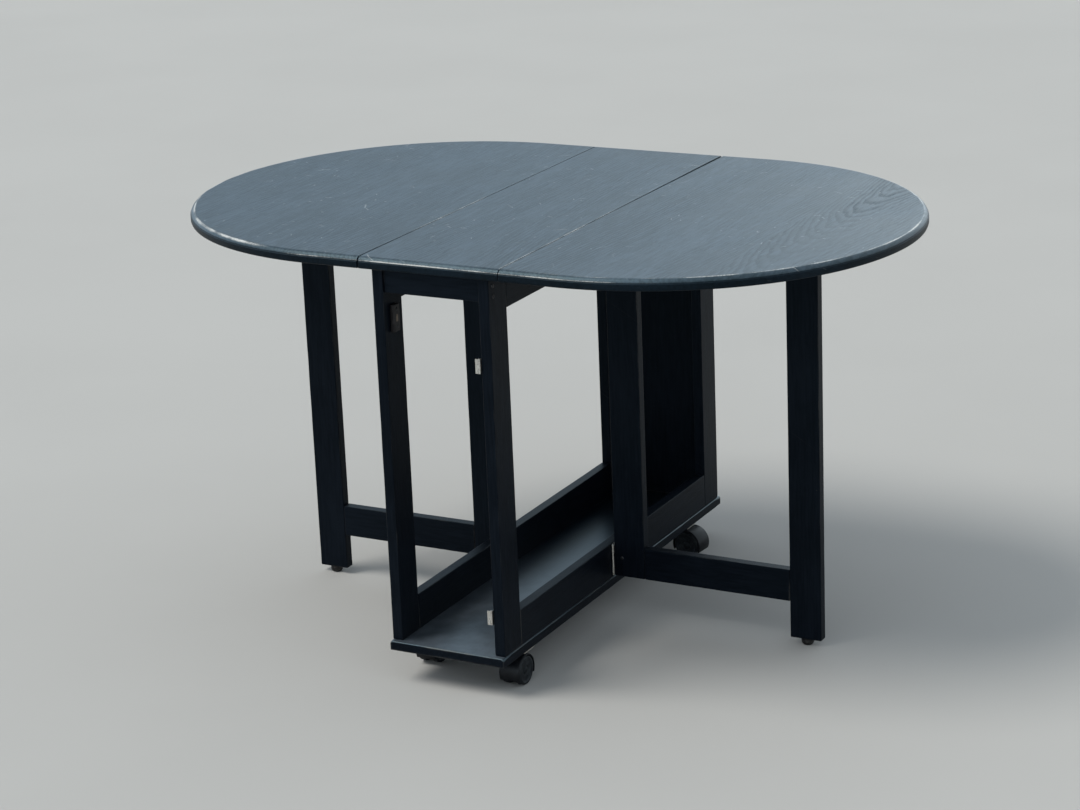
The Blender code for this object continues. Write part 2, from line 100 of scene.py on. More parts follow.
def board_rings(low, high, along, arris, seed, knocks=()):
    """Rings from end to end of a planed board with worn arrises; knocks are (corner, place, depth)."""
    across, through = [axis for axis in range(3) if axis != along]
    middle = (low + high) / 2
    half = (high - low) / 2
    reach = half[along]
    thin = min(half[across], half[through])
    fringe = min(WORN_FRINGE, 0.4 * thin)
    end = [(reach, arris + fringe, 0), (reach, arris, 0.8), (reach - 0.3 * arris, 0.3 * arris, 1)]
    end += [(reach - arris, 0, 0.6), (reach - arris - fringe, 0, 0)]
    stations = max(3, round(2 * reach / STATION))
    inner = reach - 3 * arris - fringe
    course = [(-place, inset, wear) for place, inset, wear in end]
    course += [(inner * (2 * step / stations - 1), 0, 0) for step in range(stations + 1)]
    course += reversed(end)
    rings = []
    for place, inset, rim in course:
        ring = []
        for corner in range(4):
            uneven = noise.noise(Vector((ARRIS_WAVES * place, 7.3 * corner, seed)))
            radius = arris * (0.85 + 0.8 * max(0, uneven))
            for knocked, at, depth in knocks:
                if knocked == corner:
                    radius += depth * math.exp(-(((place - at) / (2.2 * depth)) ** 2))
            radius = min(radius, 0.6 * (thin - inset))
            wear = 0.55 + 0.6 * noise.noise(Vector((WEAR_WAVES * place, 3.1 * corner + 9, seed)))
            turn = math.pi / 2 * corner
            sign_a = 1 if corner in (0, 3) else -1
            sign_b = 1 if corner in (0, 1) else -1
            centre_a = sign_a * (half[across] - inset - radius)
            centre_b = sign_b * (half[through] - inset - radius)
            back_off = min(fringe, 0.8 * abs(centre_a), 0.8 * abs(centre_b))
            for part, amount in ARRIS_POINTS:
                angle = turn + math.pi / 6 * min(max(part, 0), 3)
                point = middle.copy()
                point[along] += place
                point[across] += centre_a + radius * math.cos(angle)
                point[through] += centre_b + radius * math.sin(angle)
                if part in (-1, 4):
                    back = turn - math.pi / 2 if part == -1 else turn + math.pi
                    point[across] += back_off * math.cos(back)
                    point[through] += back_off * math.sin(back)
                ring.append((point, max(amount * wear, rim) if inset <= arris else 0))
        rings.append(ring)
    return rings


BEYOND = 9  # past the edge of any board
HEART_ASIDE, HEART_DEPTH = 0.11, 0.05  # heart of the tree from the middle of a plain bar
STAVE_SHIFT = 10.0  # keeps the figures of two staves apart


def new_object(name, bm, finish):
    mesh = bpy.data.meshes.new(name)
    bm.to_mesh(mesh)
    bm.free()
    mesh.shade_smooth()
    mesh.materials.append(finish)
    obj = bpy.data.objects.new(name, mesh)
    bpy.context.scene.collection.objects.link(obj)
    return obj


def wooden(name, bm, along, seed, paint, body, node, staves=()):
    """An object for a wooden piece; each stave is (upper limit, heart line, depth of the heart)."""
    obj = new_object(name, bm, paint)
    mesh = obj.data
    across, through = [axis for axis in range(3) if axis != along]
    low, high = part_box(node)
    middle = (low + high) / 2
    staves = staves or [(BEYOND, middle[across] + HEART_ASIDE, HEART_DEPTH)]
    places = []
    for face in mesh.polygons:
        for number, (limit, heart, depth) in enumerate(staves):
            if face.center[across] < limit:
                break
        for corner in face.loop_indices:
            point = mesh.vertices[mesh.loops[corner].vertex_index].co
            places += (
                point[across] - heart + STAVE_SHIFT * (number + seed),
                point[along],
                point[through] - middle[through] + depth,
            )
    grain = mesh.attributes.new("grain", "FLOAT_VECTOR", "CORNER")
    grain.data.foreach_set("vector", places)
    flat = obj.modifiers.new("flat_faces", "WEIGHTED_NORMAL")
    flat.weight = 80
    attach(obj, body)
    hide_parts(node)
    return obj


def feed(tree, socket, value):
    if isinstance(value, bpy.types.NodeSocket):
        tree.links.new(value, socket)
    else:
        socket.default_value = value


def calc(tree, operation, *values):
    node = tree.nodes.new("ShaderNodeMath")
    node.operation = operation
    for socket, value in zip(node.inputs, values):
        feed(tree, socket, value)
    return node.outputs[0]


def product(tree, first, *others):
    for other in others:
        first = calc(tree, "MULTIPLY", first, other)
    return first


def weighted(tree, start, *pairs):
    """A value with others added to it, each times its weight."""
    for value, weight in pairs:
        start = calc(tree, "ADD", start, product(tree, value, weight))
    return start


def ramp(tree, value, start, stop, low=0.0, high=1.0):
    node = tree.nodes.new("ShaderNodeMapRange")
    node.interpolation_type = "SMOOTHSTEP"
    for label, number in (("From Min", start), ("From Max", stop), ("To Min", low), ("To Max", high)):
        feed(tree, node.inputs[label], number)
    feed(tree, node.inputs["Value"], value)
    return node.outputs["Result"]


def stretched(tree, place, scale):
    node = tree.nodes.new("ShaderNodeMapping")
    feed(tree, node.inputs["Vector"], place)
    feed(tree, node.inputs["Scale"], scale)
    return node.outputs["Vector"]


def cloud(tree, place, scale, detail=2.0, rough=0.5):
    node = tree.nodes.new("ShaderNodeTexNoise")
    feed(tree, node.inputs["Vector"], place)
    feed(tree, node.inputs["Scale"], scale)
    feed(tree, node.inputs["Detail"], detail)
    feed(tree, node.inputs["Roughness"], rough)
    return node.outputs[0]


def drawn_out(tree, place, scale, detail=2.0, rough=0.5):
    """Noise drawn out along an axis by unlike scales."""
    return cloud(tree, stretched(tree, place, scale), 1, detail, rough)


def tint(tree, factor, first, second):
    node = tree.nodes.new("ShaderNodeMix")
    node.data_type = "RGBA"
    feed(tree, node.inputs[0], factor)
    feed(tree, node.inputs[6], first if isinstance(first, bpy.types.NodeSocket) else (*first, 1))
    feed(tree, node.inputs[7], second if isinstance(second, bpy.types.NodeSocket) else (*second, 1))
    return node.outputs[2]


def parts(tree, vector):
    node = tree.nodes.new("ShaderNodeSeparateXYZ")
    feed(tree, node.inputs[0], vector)
    return node.outputs


def stored(tree, name):
    """A value kept on the mesh under a name."""
    node = tree.nodes.new("ShaderNodeAttribute")
    node.attribute_name = name
    return node.outputs


def surface_place(tree):
    return tree.nodes.new("ShaderNodeTexCoord").outputs["Object"]


def effect(name, values, outputs):
    """A shader node group that takes a place on the surface and some values."""
    tree = bpy.data.node_groups.new(name, "ShaderNodeTree")
    tree.interface.new_socket("place", in_out="INPUT", socket_type="NodeSocketVector")
    for label, value in values.items():
        socket = tree.interface.new_socket(label, in_out="INPUT", socket_type="NodeSocketFloat")
        socket.default_value = value
    for label in outputs:
        tree.interface.new_socket(label, in_out="OUTPUT", socket_type="NodeSocketFloat")
    return tree, tree.nodes.new("NodeGroupInput").outputs, tree.nodes.new("NodeGroupOutput").inputs


def use(tree, group, place, **values):
    node = tree.nodes.new("ShaderNodeGroup")
    node.node_tree = group
    feed(tree, node.inputs["place"], place)
    for label, value in values.items():
        feed(tree, node.inputs[label], value)
    return node.outputs


GRAIN_VALUES = {"spacing": 0.005, "slope": 0.03}
RING_DRIFT = 0.022  # how far the growth rings wander

open_grain, given, result = effect("open_grain", GRAIN_VALUES, ("rings", "pores", "streaks"))
aside, along, depth = parts(open_grain, given["place"])[:3]
aside = calc(open_grain, "WRAP", aside, STAVE_SHIFT / 2, -STAVE_SHIFT / 2)
depth = calc(open_grain, "SUBTRACT", depth, product(open_grain, along, given["slope"]))
squared = calc(open_grain, "ADD", product(open_grain, aside, aside), product(open_grain, depth, depth))
drift = drawn_out(open_grain, given["place"], (17, 5, 17), 4, 0.6)
radius = weighted(open_grain, calc(open_grain, "SQRT", squared), (drift, RING_DRIFT))
phase = calc(open_grain, "FRACT", calc(open_grain, "DIVIDE", radius, given["spacing"]))
patchy = drawn_out(open_grain, given["place"], (11, 2, 11))
late = product(
    open_grain,
    ramp(open_grain, phase, 0.3, 0.85),
    ramp(open_grain, phase, 0.9, 1.0, 1, 0),
    ramp(open_grain, patchy, 0.36, 0.62, 0.15, 1),
    ramp(open_grain, radius, 0.05, 0.075, 1, 0.4),
)
feed(open_grain, result["rings"], late)
fibres = drawn_out(open_grain, given["place"], (1500, 40, 1500), 1)
opened = product(open_grain, ramp(open_grain, fibres, 0.56, 0.68), calc(open_grain, "ADD", late, 0.35))
feed(open_grain, result["pores"], opened)
feed(open_grain, result["streaks"], drawn_out(open_grain, given["place"], (210, 17, 210), 4, 0.6))

edge_wear, given, result = effect("edge_wear", {"amount": 1.0}, ("bare",))
rubbed = product(
    edge_wear,
    stored(edge_wear, "edge")["Fac"],
    ramp(edge_wear, cloud(edge_wear, given["place"], 15), 0.3, 0.7, 0.45, 1.25),
    ramp(edge_wear, cloud(edge_wear, given["place"], 420), 0.25, 0.75, 0.7, 1.2),
    given["amount"],
)
feed(edge_wear, result["bare"], ramp(edge_wear, rubbed, 0.2, 0.95))

STROKES = ((8, 0.016, 0.0015), (15, 0.008, 0.0012), (27, 0.004, 0.0014))  # on each metre, length, width
FULL_TURN = 6.28
SPECK_CELLS, SPECK_MOST = 30, 0.04

hand_marks, given, result = effect("hand_marks", {"density": 0.5}, ("scratches", "specks", "haze"))
across, along, upwards = parts(hand_marks, given["place"])[:3]
unrolled = hand_marks.nodes.new("ShaderNodeCombineXYZ")
feed(hand_marks, unrolled.inputs[0], weighted(hand_marks, across, (upwards, 1.7)))
feed(hand_marks, unrolled.inputs[1], along)
broken = ramp(hand_marks, cloud(hand_marks, given["place"], 700, 1), 0.38, 0.56)
crowded = ramp(hand_marks, cloud(hand_marks, given["place"], 5), 0.42, 0.58, 0.2, 1)
rarely = calc(hand_marks, "SUBTRACT", 1.0, product(hand_marks, given["density"], 0.6))
marks = None
for scale, length, width in STROKES:
    cells = hand_marks.nodes.new("ShaderNodeTexVoronoi")
    cells.voronoi_dimensions = "2D"
    feed(hand_marks, cells.inputs["Scale"], scale)
    feed(hand_marks, cells.inputs["Vector"], unrolled.outputs[0])
    angle, chance, strength = parts(hand_marks, cells.outputs["Color"])[:3]
    offset = hand_marks.nodes.new("ShaderNodeVectorMath")
    offset.operation = "SUBTRACT"
    feed(hand_marks, offset.inputs[0], unrolled.outputs[0])
    feed(hand_marks, offset.inputs[1], cells.outputs["Position"])
    swung = hand_marks.nodes.new("ShaderNodeVectorRotate")
    swung.rotation_type = "Z_AXIS"
    feed(hand_marks, swung.inputs["Vector"], offset.outputs[0])
    feed(hand_marks, swung.inputs["Angle"], product(hand_marks, angle, FULL_TURN))
    stroke = [calc(hand_marks, "ABSOLUTE", part) for part in parts(hand_marks, swung.outputs[0])[:2]]
    mark = product(
        hand_marks,
        ramp(hand_marks, stroke[0], 0.4 * length, length, 1, 0),
        ramp(hand_marks, stroke[1], 0.3 * width, width, 1, 0),
        calc(hand_marks, "GREATER_THAN", chance, rarely),
        ramp(hand_marks, strength, 0, 1, 0.35, 1),
    )
    marks = mark if marks is None else calc(hand_marks, "MAXIMUM", marks, mark)
feed(hand_marks, result["scratches"], product(hand_marks, marks, product(hand_marks, broken, crowded)))
cells = hand_marks.nodes.new("ShaderNodeTexVoronoi")
feed(hand_marks, cells.inputs["Scale"], SPECK_CELLS)
feed(hand_marks, cells.inputs["Vector"], given["place"])
chance = parts(hand_marks, cells.outputs["Color"])[0]
size = product(hand_marks, ramp(hand_marks, chance, 0.9, 1.0), SPECK_MOST)
feed(hand_marks, result["specks"], calc(hand_marks, "LESS_THAN", cells.outputs["Distance"], size))
feed(hand_marks, result["haze"], cloud(hand_marks, given["place"], 6, 4, 0.6))


def blank_finish(name, slot):
    """A new Principled material that keeps its slot's name, with its nodes and its shader's sockets."""
    made = bpy.data.materials.new(name)
    made.use_nodes = True
    made["slot"] = slot
    return made, made.node_tree, made.node_tree.nodes["Principled BSDF"].inputs


def relief(tree, shader, height, strength, distance, invert=False):
    bump = tree.nodes.new("ShaderNodeBump")
    bump.invert = invert
    feed(tree, bump.inputs["Strength"], strength)
    feed(tree, bump.inputs["Distance"], distance)
    feed(tree, bump.inputs["Height"], height)
    feed(tree, shader["Normal"], bump.outputs["Normal"])


# Blue tint of the coat's reflections: a painted sky colour in them.
SKY_BLUE_REFLECTION_TINT = (0.60, 0.87, 1.0, 1)
# Pale bluish colour of the film on the base: dust and painted sheen.
DUST_AND_SHEEN = (0.15, 0.18, 0.215)


def wood_finish(
    name, slot, dark, light, worn, rough, shine, wear, density, scuffed, spacing, slope, figured
):
    """Open-grained wood under a black coat, worn on its arrises, scuffed, and paler with dust and painted
    sheen where a dust value is stored.
    """
    made, tree, shader = blank_finish(name, slot)
    feed(tree, shader["Specular IOR Level"], shine)
    # The coat's reflections are tinted blue, a painted sky colour.
    feed(tree, shader["Specular Tint"], SKY_BLUE_REFLECTION_TINT)
    figure = use(tree, open_grain, stored(tree, "grain")["Vector"], spacing=spacing, slope=slope)
    rings, pores, streaks = figure["rings"], figure["pores"], figure["streaks"]
    bare = use(tree, edge_wear, surface_place(tree), amount=wear)["bare"]
    marks = use(tree, hand_marks, surface_place(tree), density=density)
    shade = weighted(tree, product(tree, streaks, 0.7), (marks["haze"], 0.55))
    shade = weighted(tree, shade, (rings, -figured), (pores, -figured))
    colour = tint(tree, ramp(tree, shade, 0.41, 0.82), dark, light)
    # Where a dust value is stored, the pale bluish film of dust and painted sheen is mixed in.
    film = ramp(tree, cloud(tree, surface_place(tree), 45, 4), 0.3, 0.7, 0.7, 1.2)
    colour = tint(tree, product(tree, stored(tree, "dust")["Fac"], film), colour, DUST_AND_SHEEN)
    struck = product(tree, marks["scratches"], scuffed)
    struck = calc(tree, "MAXIMUM", struck, product(tree, marks["specks"], 0.6))
    pale = calc(tree, "MAXIMUM", product(tree, bare, 0.9), struck)
    feed(tree, shader["Base Color"], tint(tree, pale, colour, worn))
    gloss = ramp(tree, marks["haze"], 0.3, 0.75, rough + 0.02, rough + 0.2 * figured + 0.02)
    gloss = weighted(tree, gloss, (rings, 0.2 * figured), (bare, 0.2), (pores, 0.1))
    feed(tree, shader["Roughness"], gloss)
    height = weighted(tree, pores, (rings, 0.15), (streaks, 2.0), (bare, 0.8))
    relief(tree, shader, height, 1.4 * figured, 0.0004, invert=True)
    return made


# Paint of the base's upward faces: glossier, and lighter in colour as painted sheen.
upward_finish_with_sheen = wood_finish(
    name="upward_paint_with_sheen",
    slot="frame_wood",
    dark=(0.0022, 0.0048, 0.0086),
    light=(0.0080, 0.0135, 0.0210),
    worn=(0.130, 0.124, 0.116),
    rough=0.27,
    shine=0.62,
    wear=0.8,
    density=0.6,
    scuffed=0.3,
    spacing=0.006,
    slope=0.03,
    figured=0.04,
)
black_paint = wood_finish(
    name="black_frame_paint",
    slot="frame_wood",
    dark=(0.0021, 0.0032, 0.0060),
    light=(0.0056, 0.0080, 0.0130),
    worn=(0.060, 0.060, 0.059),
    rough=0.36,
    shine=0.07,
    wear=0.75,
    density=0.45,
    scuffed=0.3,
    spacing=0.006,
    slope=0.03,
    figured=0.2,
)
base_low, base_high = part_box("base_board")
base_skin = skin(board_rings(base_low, base_high, ALONG_Y, BASE_ARRIS, BASE_SEED, BASE_KNOCKS))
# The top face turns paler and bluer towards the open end: dust and painted sheen.
base_dust_and_sheen = base_skin.verts.layers.float.new("dust")
for vert in base_skin.verts:
    if vert.co.z > base_high.z - ON_FACE:
        vert[base_dust_and_sheen] = min(BASE_DIRT_AND_SHEEN_MOST, max(0, BASE_DIRT_AND_SHEEN_FROM - vert.co.y))
base = wooden("base_board_worn", base_skin, ALONG_Y, BASE_SEED, upward_finish_with_sheen, "carcass", "base_board")
base.data.materials.append(black_paint)
# Upward faces take the lighter paint with its painted sheen, the rest the darker frame paint.
for face in base.data.polygons:
    face.material_index = int(face.normal.z < BASE_LOOKS_UP)


# Carcass posts, rails and aprons: planed bars of the same wood, dowelled into two open side frames.
# A thin panel closes the far end and a narrow rail bridges the open near end under the top.

POST_ARRIS = 0.0013
CARCASS_SEED = 3


def bar(node, along, arris, seed, body):
    """A planed bar in the frame's paint in place of a CAD node."""
    low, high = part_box(node)
    planed = skin(board_rings(low, high, along, arris, seed))
    wooden(f"{node}_worn", planed, along, seed, black_paint, body, node)


carcass_bars = [(f"{end}_{side}_post", ALONG_Z) for end in ("near", "far") for side in ("right", "left")]
for side in ("right", "left"):
    carcass_bars += [(f"{side}_apron", ALONG_Y), (f"{side}_bottom_rail", ALONG_Y)]
carcass_bars += [("near_top_rail", ALONG_X), ("far_end_panel", ALONG_Z)]
for seed, (node, along) in enumerate(carcass_bars, CARCASS_SEED):
    bar(node, along, POST_ARRIS, seed, "carcass")


# Screws of the near rail: two through each near post into the ends of the rail, heads just proud.
# Steel screws with a crossed recess, their heads blackened and scuffed.

RAIL_SCREW_Y = -0.413
RAIL_SCREW_HEIGHTS = (0.707, 0.6895)
SCREW_RADIUS = 0.0038
SCREW_HEAD = ((1.0, -0.06), (1.0, 0.08), (0.9, 0.22), (0.66, 0.30))  # in radii: radius, height
CROSS_LONG, CROSS_THIN = 0.46, 0.11  # in radii, from the middle
CROSS_FLOOR, CROSS_TAPER = -0.02, 0.8
FIRST_TURN, NEXT_TURN = 0.4, 1.3  # how the crosses of a row of screws are turned
SHARP = math.radians(38)
UPRIGHT = Vector((0, 0, 1))
SCRATCHED_METAL = (0.85, 0.84, 0.82)


def metal_finish(name, slot, colour, stain, rough):
    """Plated or bare metal with a brushed surface, fine scratches and dull stains."""
    made, tree, shader = blank_finish(name, slot)
    feed(tree, shader["Metallic"], 1)
    place = surface_place(tree)
    scratches = use(tree, hand_marks, place, density=1.0)["scratches"]
    brushed = drawn_out(tree, place, (900, 900, 60))
    spots = ramp(tree, cloud(tree, place, 160, 3), 0.52, 0.7)
    tone = tint(tree, spots, colour, stain)
    feed(tree, shader["Base Color"], tint(tree, product(tree, scratches, 0.4), tone, SCRATCHED_METAL))
    dull = ramp(tree, brushed, 0.3, 0.7, rough, rough + 0.16)
    feed(tree, shader["Roughness"], weighted(tree, dull, (spots, 0.2)))
    relief(tree, shader, brushed, 0.15, 0.0001)
    return made


def turned_rings(profile, seat, steps):
    """Rings of a turned piece from (radius, height) points, its axis on Z of a seat matrix."""
    rings = []
    for radius, height in profile:
        ring = []
        for step in range(steps):
            angle = 2 * math.pi * step / steps
            ring.append((seat @ Vector((radius * math.cos(angle), radius * math.sin(angle), height)), 0))
        rings.append(ring)
    return rings


def add_screw(bm, centre, outward, radius, turn):
    """A domed screw head with a crossed recess, seated on a face."""
    stand = UPRIGHT.rotation_difference(Vector(outward)).to_matrix().to_4x4()
    seat = Matrix.Translation(centre) @ stand @ Matrix.Rotation(turn, 4, "Z")
    head = [(share * radius, height * radius) for share, height in SCREW_HEAD]
    rows = [[bm.verts.new(point) for point, _ in ring] for ring in turned_rings(head, seat, 20)]
    bm.faces.new(reversed(rows[0]))
    join_rows(bm, rows)
    long, thin = CROSS_LONG * radius, CROSS_THIN * radius
    outline = []
    for quarter in range(4):
        swing = Matrix.Rotation(math.pi / 2 * quarter, 3, "Z")
        outline += [swing @ Vector(spot) for spot in ((long, -thin, 0), (long, thin, 0), (thin, thin, 0))]
    crown = Vector((0, 0, head[-1][1]))
    bottom = Vector((0, 0, CROSS_FLOOR * radius))
    mouth = [bm.verts.new(seat @ (spot + crown)) for spot in outline]
    recess = [bm.verts.new(seat @ (CROSS_TAPER * spot + bottom)) for spot in outline]
    rim_edges = []
    for loop in (rows[-1], mouth):
        for pair in zip(loop, loop[1:] + loop[:1]):
            rim_edges.append(bm.edges.get(pair) or bm.edges.new(pair))
    bmesh.ops.triangle_fill(bm, use_beauty=True, use_dissolve=False, edges=rim_edges)
    join_rows(bm, [mouth, recess])
    bm.faces.new(recess)


def fitted(name, bm, finish, body, *nodes):
    """An object for a piece that isn't wood, riding on its body."""
    bmesh.ops.recalc_face_normals(bm, faces=bm.faces)
    obj = new_object(name, bm, finish)
    obj.data.set_sharp_from_angle(angle=SHARP)
    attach(obj, body)
    if nodes:
        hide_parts(*nodes)


def screws(name, places, finish, body, radius=SCREW_RADIUS):
    bm = bmesh.new()
    for number, (centre, outward) in enumerate(places):
        add_screw(bm, Vector(centre), outward, radius, FIRST_TURN + NEXT_TURN * number)
    fitted(name, bm, finish, body)


blackened_steel = metal_finish(
    name="blackened_screw_steel",
    slot="nickel",
    colour=(0.055, 0.055, 0.058),
    stain=(0.020, 0.020, 0.022),
    rough=0.38,
)
for side, sign in (("right", 1), ("left", -1)):
    low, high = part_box(f"near_{side}_post")
    face_x = high.x if sign > 0 else low.x
    heads = [((face_x, RAIL_SCREW_Y, height), (sign, 0, 0)) for height in RAIL_SCREW_HEIGHTS]
    screws(f"near_{side}_post_screws", heads, blackened_steel, "carcass")


# Casters: a screwed steel plate with a king pin, a black moulded hood and two wheels on one axle.
# The hood is a drum, open below, with a web between the wheels; treads are grey with dust.

CASTER_HEADINGS = {"near_right": -90, "near_left": 90, "far_right": -5, "far_left": 110}
CASTER_TRAIL = 0.016
WHEEL_RADIUS = 0.025
WHEEL_HALF_SPAN = 0.019
WHEEL_INNER = 0.0062
AXLE_RADIUS = 0.003
HOOD_RADIUS = 0.029
HOOD_WELL = 0.0266
HOOD_HALF_WEB = 0.0055
HOOD_BOSS = 0.009
HOOD_SKIRT = 0.012
HOOD_STEPS = 36
WEB_LAP = 0.0004  # the web runs this far into the drum
WEB_SECTION = ((0.0012, -1), (0.0004, -0.95), (0, -0.82), (0, 0.82), (0.0004, 0.95), (0.0012, 1))
PLATE_UNDER = 0.0552
PLATE_SCREW_SPREAD = 0.0115
PLATE_SCREW_RADIUS = 0.0030


def moulded_finish(name, slot, colour, dust, rough, dusty):
    """Moulded plastic with a fine eggshell texture, scuffs and dust."""
    made, tree, shader = blank_finish(name, slot)
    feed(tree, shader["Specular IOR Level"], 0.2)
    place = surface_place(tree)
    scratches = use(tree, hand_marks, place, density=0.9)["scratches"]
    film = ramp(tree, cloud(tree, place, 90, 4, 0.65), 0.38, 0.72, 0, dusty)
    film = calc(tree, "MAXIMUM", film, product(tree, scratches, 0.35))
    feed(tree, shader["Base Color"], tint(tree, film, colour, dust))
    feed(tree, shader["Roughness"], ramp(tree, film, 0, 1, rough, rough + 0.3))
    relief(tree, shader, cloud(tree, place, 1400), 0.25, 0.0001)
    return made


def plated(node):
    """Gives a CAD node that shows as it is the worn nickel."""
    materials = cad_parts[node].data.materials
    materials.clear()
    materials.append(bright_nickel)


wheel_grey = moulded_finish(
    name="grey_wheel_plastic",
    slot="wheel_plastic",
    colour=(0.003, 0.005, 0.008),
    dust=(0.062, 0.074, 0.080),
    rough=0.45,
    dusty=0.35,
)
hood_black = moulded_finish(
    name="black_hood_plastic",
    slot="hood_plastic",
    colour=(0.002, 0.003, 0.005),
    dust=(0.028, 0.030, 0.031),
    rough=0.45,
    dusty=0.2,
)
bright_nickel = metal_finish(
    name="worn_nickel_plate",
    slot="nickel",
    colour=(0.62, 0.60, 0.56),
    stain=(0.26, 0.24, 0.21),
    rough=0.26,
)
wheel_face = [
    (0.0020, -0.0009), (0.0048, -0.0010), (0.0060, -0.0016), (0.0064, -0.0027), (0.0082, -0.0029),
    (0.0090, -0.0020), (0.0150, -0.0014), (0.0192, -0.0011), (0.0202, -0.0002), (0.0226, -0.0001),
    (0.0240, -0.0007), (0.0248, -0.0020), (0.0250, -0.0040),
]
wheel_profile = [(radius, WHEEL_HALF_SPAN + back) for radius, back in wheel_face]
wheel_profile += [(WHEEL_RADIUS, WHEEL_INNER + 0.0022), (0.0243, WHEEL_INNER + 0.0006)]
wheel_profile += [(0.0228, WHEEL_INNER), (AXLE_RADIUS, WHEEL_INNER)]
wheel_profile += [(radius, -height) for radius, height in reversed(wheel_profile)]
hood_section = [(0.0190, 0.0268), (0.0190, 0.0278), (0.0184, 0.0286), (0.0172, 0.0290)]
hood_section += [(-wide, out) for wide, out in reversed(hood_section)]
hood_section += [(-0.0184, HOOD_WELL), (0.0184, HOOD_WELL)]
boss_profile = [(0.0070, 0.030), (HOOD_BOSS, 0.032), (HOOD_BOSS, 0.0535)]
boss_profile += [(0.0084, 0.0547), (0.0072, 0.0549)]
for place, heading in CASTER_HEADINGS.items():
    low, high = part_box(f"{place}_caster_wheels")
    axle = (low + high) / 2
    trail = Matrix.Rotation(math.radians(heading), 3, "Z") @ Vector((1, 0, 0))
    sideways = UPRIGHT.cross(trail)
    lying = Matrix.Translation(axle) @ UPRIGHT.rotation_difference(sideways).to_matrix().to_4x4()
    fitted(
        f"{place}_caster_wheel_pair",
        skin(turned_rings(wheel_profile, lying, 56)),
        wheel_grey,
        f"{place}_caster_roll",
        f"{place}_caster_wheels",
    )
    first = -math.asin(HOOD_SKIRT / HOOD_RADIUS)
    last = math.pi - first
    arc = []
    for step in range(HOOD_STEPS + 1):
        angle = first + (last - first) * step / HOOD_STEPS
        arc.append(math.cos(angle) * trail + math.sin(angle) * UPRIGHT)
    shell = []
    for outward in arc:
        shell.append([(axle + out * outward + wide * sideways, 0) for wide, out in hood_section])
    web_line = [axle + (HOOD_WELL + WEB_LAP) * outward for outward in arc]
    web = []
    for inset, wide in WEB_SECTION:
        aside = wide * HOOD_HALF_WEB * sideways
        web.append([(point.lerp(axle, inset / HOOD_WELL) + aside, 0) for point in web_line])
    swivel = Vector((axle.x, axle.y, 0)) - CASTER_TRAIL * trail
    hood = bmesh.new()
    add_skin(hood, shell)
    add_skin(hood, web)
    add_skin(hood, turned_rings(boss_profile, Matrix.Translation(swivel), 32))
    body = f"{place}_caster_swivel"
    fitted(f"{place}_caster_hood_moulded", hood, hood_black, body, f"{place}_caster_hood")
    plate_screws = []
    for x in (-PLATE_SCREW_SPREAD, PLATE_SCREW_SPREAD):
        for y in (-PLATE_SCREW_SPREAD, PLATE_SCREW_SPREAD):
            plate_screws.append(((swivel.x + x, swivel.y + y, PLATE_UNDER), (0, 0, -1)))
    screws(f"{place}_caster_plate_screws", plate_screws, bright_nickel, "carcass", PLATE_SCREW_RADIUS)
    plated(f"{place}_caster_plate")


# Gates: four planed bars dowelled into a swinging frame under each leaf, painted as the carcass.
# The outer bar is a leg that stands on a small black glide nailed into its end.

GATE_ARRIS = 0.0014
GATE_BARS = (("stile", ALONG_Z), ("leg", ALONG_Z), ("lower_rail", ALONG_X), ("upper_rail", ALONG_X))
STILE_SCREW_X = 0.127
STILE_SCREW_HEIGHT = 0.112
STILE_SCREW_RADIUS = 0.0032
glide_cup = [
    (0.0040, 0.0000), (0.0066, 0.0001), (0.0080, 0.0006), (0.0092, 0.0018), (0.0106, 0.0040),
    (0.0112, 0.0062), (0.0114, 0.0085), (0.0112, 0.0104), (0.0100, 0.0112), (0.0060, 0.0112),
]
glide_black = moulded_finish(
    name="black_glide_plastic",
    slot="glide_plastic",
    colour=(0.007, 0.007, 0.008),
    dust=(0.10, 0.095, 0.09),
    rough=0.4,
    dusty=0.5,
)
for side, sign, gate_seed in (("right", 1, 13), ("left", -1, 17)):
    body = f"{side}_gate_body"
    for seed, (piece, along) in enumerate(GATE_BARS, gate_seed):
        bar(f"{side}_gate_{piece}", along, GATE_ARRIS, seed, body)
    low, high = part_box(f"{side}_gate_glide")
    centre = (low + high) / 2
    foot = Matrix.Translation((centre.x, centre.y, 0))
    cup = skin(turned_rings(glide_cup, foot, 40))
    fitted(f"{side}_gate_glide_cup", cup, glide_black, body, f"{side}_gate_glide")
    low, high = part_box(f"{side}_gate_stile")
    heads = [((sign * STILE_SCREW_X, low.y, STILE_SCREW_HEIGHT), (0, -1, 0))]
    screws(f"{side}_gate_stile_screw", heads, blackened_steel, body, STILE_SCREW_RADIUS)


# Gate hinges: pairs of plated butt hinges, let in flat between each stile and the carcass.
# Only their knuckles show, bright where the plating is rubbed.

for side in ("right", "left"):
    for level in ("lower", "upper"):
        for half in ("plate", "flap"):
            plated(f"{side}_gate_{level}_hinge_{half}")


# Top: a fixed panel and two drop leaves, each glued up from staves, stained black and lacquered.
# The rim is chamfered above a small quirk; arrises and seams are rubbed pale, and the pale lower arris
# along the near edge and the chamfer's face at the near left are also a painted highlight.
# Below the quirk the rim and the underside are a deeper, duller black; the deeper colour is painted shade.

